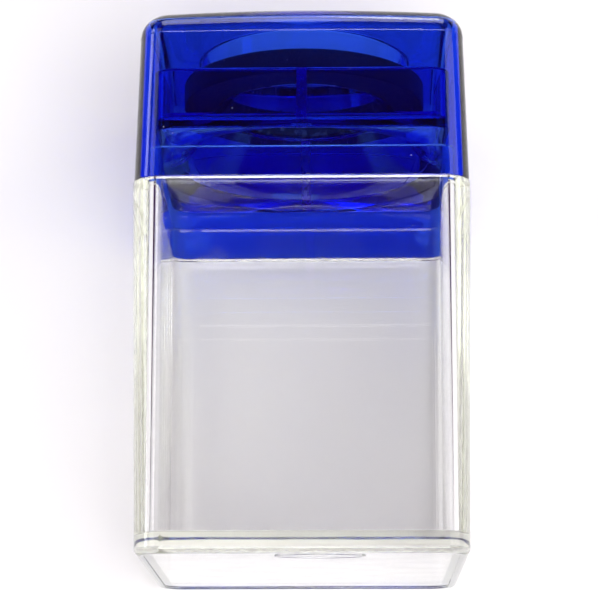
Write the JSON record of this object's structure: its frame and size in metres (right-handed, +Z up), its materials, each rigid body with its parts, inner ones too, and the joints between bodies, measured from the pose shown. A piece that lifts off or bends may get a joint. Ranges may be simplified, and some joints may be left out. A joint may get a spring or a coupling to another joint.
{
  "type": "magnetic paper clip dispenser",
  "caption": "Clear square box with a translucent blue lift-off cap; a ring magnet under the round opening in the cap holds paper clips at its edge.",
  "frame": {"origin": "centre of the container's underside", "axes": "+Z up through the cap's round opening, -Y the front face, +X to the right of the front face"},
  "size_m": [0.0446, 0.0446, 0.0733],
  "materials": {
    "clear_plastic": "clear moulded polystyrene, glossy, fine handling scratches",
    "blue_plastic": "translucent deep blue moulded polystyrene, glossy",
    "blue_insert_plastic": "translucent deep blue moulded polystyrene, slightly hazy",
    "dark_ferrite": "pressed and ground black ceramic magnet, satin, a few bright specks"
  },
  "bodies": {
    "container": {"clear_box": "clear_plastic"},
    "cap": {"cap_shell": "blue_plastic", "ring_magnet": "dark_ferrite", "magnet_retainer": "blue_insert_plastic"}
  },
  "joints": [
    {"name": "cap_lift", "type": "slide", "parent": "container", "child": "cap", "axis": [0, 0, 1], "range_m": [0, 0.06]}
  ]
}
